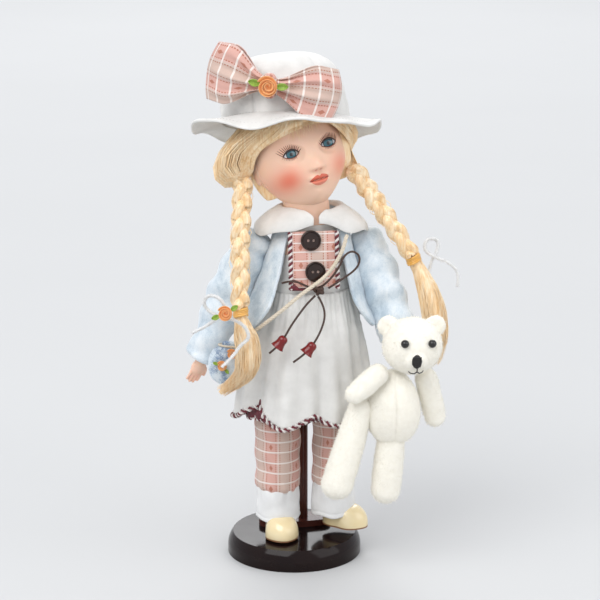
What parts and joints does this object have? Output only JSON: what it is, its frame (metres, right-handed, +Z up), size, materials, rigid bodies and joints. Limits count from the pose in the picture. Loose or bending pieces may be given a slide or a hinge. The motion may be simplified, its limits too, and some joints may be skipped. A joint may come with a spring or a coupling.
{
  "type": "porcelain doll",
  "caption": "Jointed porcelain-headed doll in a straw-blonde wig, hat and layered clothes, holding a plush bear, on a round stand.",
  "frame": {"origin": "middle of the stand's flat underside", "axes": "+Z up along the doll's height; the doll faces -Y, and its own right hand is on the -X side"},
  "size_m": [0.1691, 0.1203, 0.3262],
  "materials": {
    "lacquered_wood": "gloss",
    "dark_wood": "gloss",
    "steel": "satin",
    "cloth_body": "matte",
    "bisque": "matte",
    "pate_card": "matte",
    "eye_glass": "gloss",
    "blonde_hair": "satin",
    "hair_band": "satin",
    "cream_cotton": "matte",
    "pink_plaid": "matte",
    "blue_velour": "matte",
    "two_tone_cord": "matte",
    "maroon_satin": "satin",
    "dark_button": "gloss",
    "leather_cord": "satin",
    "red_bead": "gloss",
    "strap_cord": "matte",
    "white_chenille": "matte",
    "ribbon_rose": "satin",
    "painted_shoe": "gloss",
    "bear_plush": "matte",
    "black_bead": "gloss"
  },
  "bodies": {
    "stand": {"stand_base": "lacquered_wood", "stand_plinth": "dark_wood", "stand_post": "dark_wood", "post_screw": "steel"},
    "clip": {"clip_rod": "steel", "waist_clip": "steel"},
    "doll": {"torso": "cloth_body", "shoulder_head": "bisque", "crown_pate": "pate_card", "glass_eyes": "eye_glass", "wig": "blonde_hair", "dress_bodice": "cream_cotton", "skirt": "cream_cotton", "hem_trim": "two_tone_cord", "hem_facing": "maroon_satin", "placket": "pink_plaid", "placket_trims": "two_tone_cord", "buttons": "dark_button", "collar": "cream_cotton", "jacket": "blue_velour", "tie_bow": "leather_cord", "bag_strap": "strap_cord"},
    "hat": {"hat_crown": "cream_cotton", "hat_brim": "cream_cotton", "hat_bow": "pink_plaid", "hat_rose": "ribbon_rose"},
    "right_hair": {"right_braid": "blonde_hair", "right_band": "hair_band", "right_tail": "blonde_hair", "braid_rose": "ribbon_rose", "right_bow": "white_chenille"},
    "left_hair": {"left_braid": "blonde_hair", "left_band": "hair_band", "left_tail": "blonde_hair", "left_bow": "white_chenille"},
    "right_arm": {"right_sleeve": "blue_velour", "right_upper_arm": "cloth_body", "right_forearm": "bisque"},
    "left_arm": {"left_sleeve": "blue_velour", "left_upper_arm": "cloth_body", "left_forearm": "bisque"},
    "right_leg": {"right_thigh": "cloth_body", "right_shin": "painted_shoe", "right_trouser": "pink_plaid", "right_cuff": "cream_cotton"},
    "left_leg": {"left_thigh": "cloth_body", "left_shin": "painted_shoe", "left_trouser": "pink_plaid", "left_cuff": "cream_cotton"},
    "tie_tails": {"right_tie_tail": "leather_cord", "left_tie_tail": "leather_cord", "tie_bells": "red_bead"},
    "bag": {"bag": "blue_velour"},
    "bear": {"bear_head": "bear_plush", "bear_eyes": "black_bead", "bear_body": "bear_plush"},
    "bear_right_arm": {"bear_right_arm": "bear_plush"},
    "bear_left_arm": {"bear_left_arm": "bear_plush"},
    "bear_right_leg": {"bear_right_leg": "bear_plush"},
    "bear_left_leg": {"bear_left_leg": "bear_plush"}
  },
  "joints": [
    {"name": "height_adjust", "type": "slide", "parent": "stand", "child": "clip", "axis": [0, 0, 1], "range_m": [0, 0.03]},
    {"name": "doll_lift", "type": "slide", "parent": "clip", "child": "doll", "axis": [0, 0, 1], "range_m": [0, 0.012]},
    {"name": "hat_lift", "type": "slide", "parent": "doll", "child": "hat", "axis": [-0.0846, 0.241, 0.9668], "range_m": [0, 0.06]},
    {"name": "right_hair_swing", "type": "hinge", "parent": "doll", "child": "right_hair", "pos_m": [-0.0325, -0.0106, 0.2414], "axis": [-1, 0, 0], "range_deg": [0, 25]},
    {"name": "left_hair_swing", "type": "hinge", "parent": "doll", "child": "left_hair", "pos_m": [0.042, -0.0095, 0.2355], "axis": [0, -1, 0], "range_deg": [0, 20]},
    {"name": "right_arm_raise", "type": "hinge", "parent": "doll", "child": "right_arm", "pos_m": [-0.027, -0.001, 0.197], "axis": [0, 1, 0], "range_deg": [0, 45]},
    {"name": "left_arm_raise", "type": "hinge", "parent": "doll", "child": "left_arm", "pos_m": [0.046, -0.001, 0.196], "axis": [-1, 0, 0], "range_deg": [0, 20]},
    {"name": "right_leg_swing", "type": "hinge", "parent": "doll", "child": "right_leg", "pos_m": [-0.0108, -0.0036, 0.116], "axis": [-1, 0, 0], "range_deg": [0, 20]},
    {"name": "left_leg_swing", "type": "hinge", "parent": "doll", "child": "left_leg", "pos_m": [0.0243, -0.0036, 0.116], "axis": [-1, 0, 0], "range_deg": [-20, 6]},
    {"name": "tie_swing", "type": "hinge", "parent": "doll", "child": "tie_tails", "pos_m": [0.0092, -0.034, 0.1766], "axis": [-1, 0, 0], "range_deg": [0, 20]},
    {"name": "bag_swing", "type": "hinge", "parent": "doll", "child": "bag", "pos_m": [-0.036, -0.02, 0.146], "axis": [0, 1, 0], "range_deg": [0, 15]},
    {"name": "bear_swing", "type": "hinge", "parent": "left_arm", "child": "bear", "pos_m": [0.065, -0.03, 0.132], "axis": [-1, 0, 0], "range_deg": [0, 12]},
    {"name": "bear_right_arm_raise", "type": "hinge", "parent": "bear", "child": "bear_right_arm", "pos_m": [0.043, -0.054, 0.129], "axis": [0, 1, 0], "range_deg": [0, 30]},
    {"name": "bear_left_arm_swing", "type": "hinge", "parent": "bear", "child": "bear_left_arm", "pos_m": [0.0751, -0.0436, 0.122], "axis": [-1, 0, 0], "range_deg": [0, 12]},
    {"name": "bear_right_leg_swing", "type": "hinge", "parent": "bear", "child": "bear_right_leg", "pos_m": [0.034, -0.0475, 0.106], "axis": [-1, 0, 0], "range_deg": [0, 15]},
    {"name": "bear_left_leg_swing", "type": "hinge", "parent": "bear", "child": "bear_left_leg", "pos_m": [0.051, -0.046, 0.078], "axis": [-1, 0, 0], "range_deg": [0, 30]}
  ]
}
